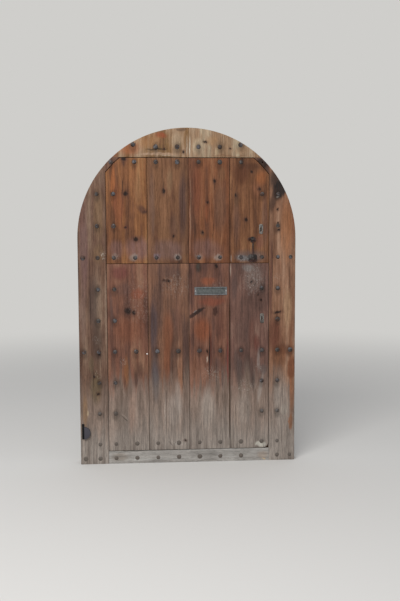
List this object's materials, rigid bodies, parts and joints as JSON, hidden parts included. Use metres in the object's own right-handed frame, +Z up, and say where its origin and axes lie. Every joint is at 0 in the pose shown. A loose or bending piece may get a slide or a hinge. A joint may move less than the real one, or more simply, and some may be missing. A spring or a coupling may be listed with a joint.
{
  "type": "arched stable door with frame",
  "caption": "Arched plank door in its own wooden surround, split across into two studded leaves with a letter plate, a knocker and rim locks.",
  "frame": {"origin": "centre of the sill rail's underside, on the middle line of the arch and midway between the front and the back of the framing behind the boards", "axes": "+X to the right seen from the front, +Y inwards from the boarded front to the framed back, +Z up"},
  "size_m": [1.34, 0.1367, 2.07],
  "materials": {
    "upper_planks": "weathered, worn, red-brown",
    "lower_planks": "weathered, grey-brown",
    "side_boards": "weathered, worn",
    "arch_boards": "weathered, tan",
    "bottom_board": "weathered, grey",
    "back_framing": "plain sawn",
    "forged_iron": "forged, dark grey",
    "grey_iron": "dull grey, worn",
    "rusty_iron": "rusted",
    "dark_pad": "dull"
  },
  "bodies": {
    "frame": {"left_post": "back_framing", "right_post": "back_framing", "arch_rib_left": "back_framing", "arch_rib_right": "back_framing", "head_rail": "back_framing", "sill_rail": "back_framing", "left_board": "side_boards", "right_board": "side_boards", "tympanum_board_left": "arch_boards", "tympanum_board_right": "arch_boards", "bottom_board": "bottom_board", "corner_block_left": "arch_boards", "corner_block_right": "arch_boards", "frame_studs": "forged_iron", "pintles": "forged_iron", "upper_keeper": "forged_iron", "lower_keeper": "forged_iron", "edge_buffer": "dark_pad"},
    "upper_leaf": {"upper_plank_1": "upper_planks", "upper_plank_2": "upper_planks", "upper_plank_3": "upper_planks", "upper_plank_4": "upper_planks", "upper_hinge_stile": "back_framing", "upper_lock_stile": "back_framing", "upper_top_rail": "back_framing", "upper_bottom_rail": "back_framing", "upper_studs": "forged_iron", "upper_strap_top": "forged_iron", "upper_strap_bottom": "forged_iron", "upper_small_nails": "forged_iron", "upper_lock_case": "forged_iron", "upper_escutcheon": "forged_iron", "knocker_staple": "rusty_iron", "knocker_strike": "rusty_iron", "tie_keeper": "forged_iron"},
    "lower_leaf": {"lower_plank_1": "lower_planks", "lower_plank_2": "lower_planks", "lower_plank_3": "lower_planks", "lower_plank_4": "lower_planks", "lower_hinge_stile": "back_framing", "lower_lock_stile": "back_framing", "lower_top_rail": "back_framing", "lower_mid_rail": "back_framing", "lower_bottom_rail": "back_framing", "lower_studs": "forged_iron", "lower_strap_top": "forged_iron", "lower_strap_bottom": "forged_iron", "lower_small_nails": "forged_iron", "lower_lock_case": "forged_iron", "lower_escutcheon": "forged_iron", "letter_plate": "grey_iron", "letter_flap_pin": "grey_iron", "letter_plate_screws": "grey_iron", "tie_barrel": "forged_iron"},
    "upper_lock_bolt": {"upper_lock_bolt": "forged_iron"},
    "lower_lock_bolt": {"lower_lock_bolt": "forged_iron"},
    "tie_bolt": {"tie_bolt": "forged_iron"},
    "letter_flap": {"letter_flap": "grey_iron"},
    "knocker": {"knocker": "rusty_iron"}
  },
  "joints": [
    {"name": "upper_leaf_hinge", "type": "hinge", "parent": "frame", "child": "upper_leaf", "pos_m": [-0.531, 0.0349, 0], "axis": [0, 0, 1], "range_deg": [0, 100]},
    {"name": "lower_leaf_hinge", "type": "hinge", "parent": "frame", "child": "lower_leaf", "pos_m": [-0.531, 0.0349, 0], "axis": [0, 0, 1], "range_deg": [0, 100]},
    {"name": "upper_lock_slide", "type": "slide", "parent": "upper_leaf", "child": "upper_lock_bolt", "axis": [1, 0, 0], "range_m": [0, 0.025]},
    {"name": "lower_lock_slide", "type": "slide", "parent": "lower_leaf", "child": "lower_lock_bolt", "axis": [1, 0, 0], "range_m": [0, 0.025]},
    {"name": "tie_slide", "type": "slide", "parent": "lower_leaf", "child": "tie_bolt", "axis": [0, 0, 1], "range_m": [0, 0.035]},
    {"name": "letter_flap_hinge", "type": "hinge", "parent": "lower_leaf", "child": "letter_flap", "pos_m": [0.1425, -0.0576, 1.095], "axis": [-1, 0, 0], "range_deg": [0, 80], "stiffness_Nm_per_rad": 0.02, "springref_deg": -28.65},
    {"name": "knocker_hinge", "type": "hinge", "parent": "upper_leaf", "child": "knocker", "pos_m": [0.403, -0.0615, 1.392], "axis": [-1, 0, 0], "range_deg": [0, 75]}
  ]
}
